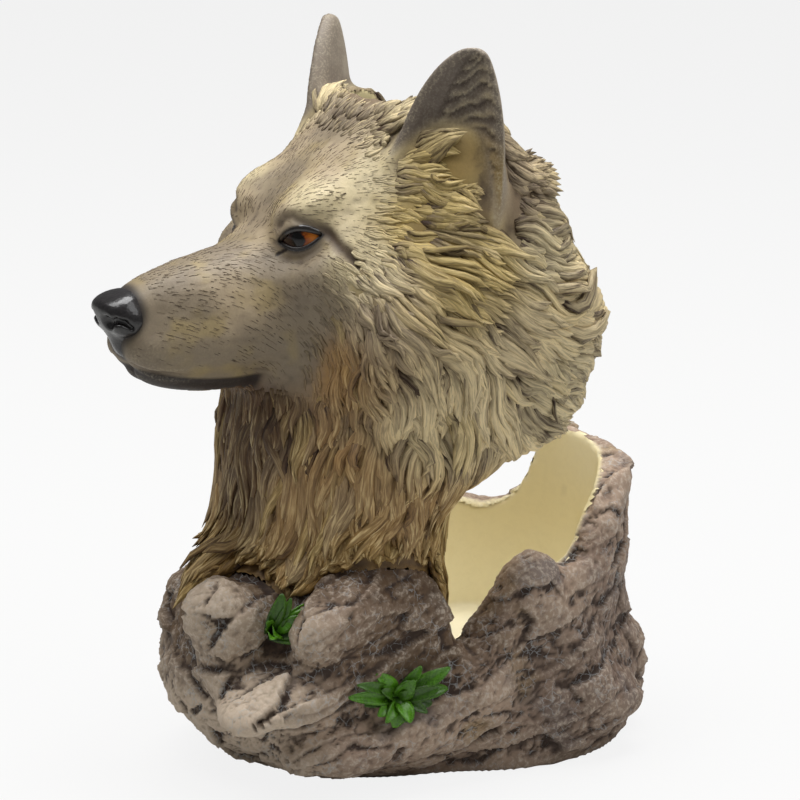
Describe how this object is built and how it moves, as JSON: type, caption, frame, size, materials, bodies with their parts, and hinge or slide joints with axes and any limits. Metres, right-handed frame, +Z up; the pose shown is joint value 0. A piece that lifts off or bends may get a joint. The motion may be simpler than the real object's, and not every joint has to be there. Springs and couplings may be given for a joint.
{
  "type": "wolf bottle holder",
  "caption": "Painted resin bottle holder: a wolf's head and shaggy mane wrap a standing bottle, on a rock base with a cup for its foot.",
  "frame": {"origin": "on the bottle's axis, at the flat underside of the rock base", "axes": "+Z up along the bottle's axis, the wolf faces -Y, +X is the wolf's left"},
  "size_m": [0.1334, 0.2033, 0.2476],
  "materials": {
    "painted_resin": "matt paint in cream, ochre and grey over cast resin"
  },
  "bodies": {
    "root": {"wolf_casting": "painted_resin"}
  },
  "joints": []
}
